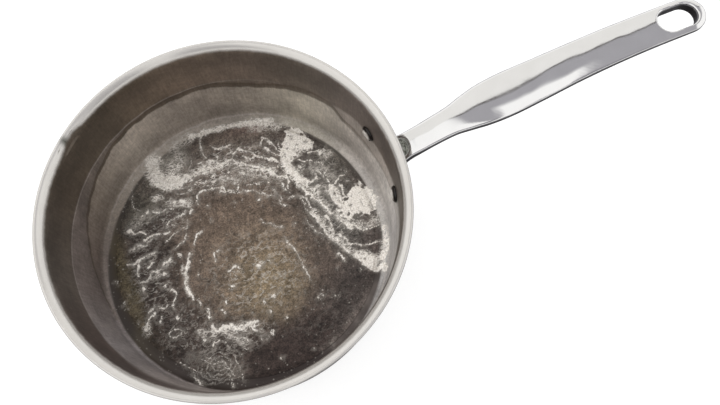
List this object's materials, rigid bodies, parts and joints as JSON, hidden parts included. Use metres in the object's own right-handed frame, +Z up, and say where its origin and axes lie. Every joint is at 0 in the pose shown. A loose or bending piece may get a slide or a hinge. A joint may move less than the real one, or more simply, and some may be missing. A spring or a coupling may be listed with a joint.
{
  "type": "burnt saucepan",
  "caption": "Burnt stainless saucepan with a flared pouring lip, a riveted cast handle with a hanging hole, and white scale crusted on the floor.",
  "frame": {"origin": "centre of the flat underside of the pan body", "axes": "+Z up out of the pan, +X along the handle, +Y to the left of someone looking along the handle from the pan"},
  "size_m": [0.3778, 0.2, 0.1026],
  "materials": {
    "stained_steel": "heat-stained and smoke-browned inside, satin outside",
    "polished_steel": "polished casting",
    "rivet_steel": "darkened by heat",
    "burnt_crust": "matt burnt deposit with pale lime scale"
  },
  "bodies": {
    "root": {"pan_body": "stained_steel", "handle": "polished_steel", "rivet_left": "rivet_steel", "rivet_right": "rivet_steel", "burnt_crust": "burnt_crust"}
  },
  "joints": []
}
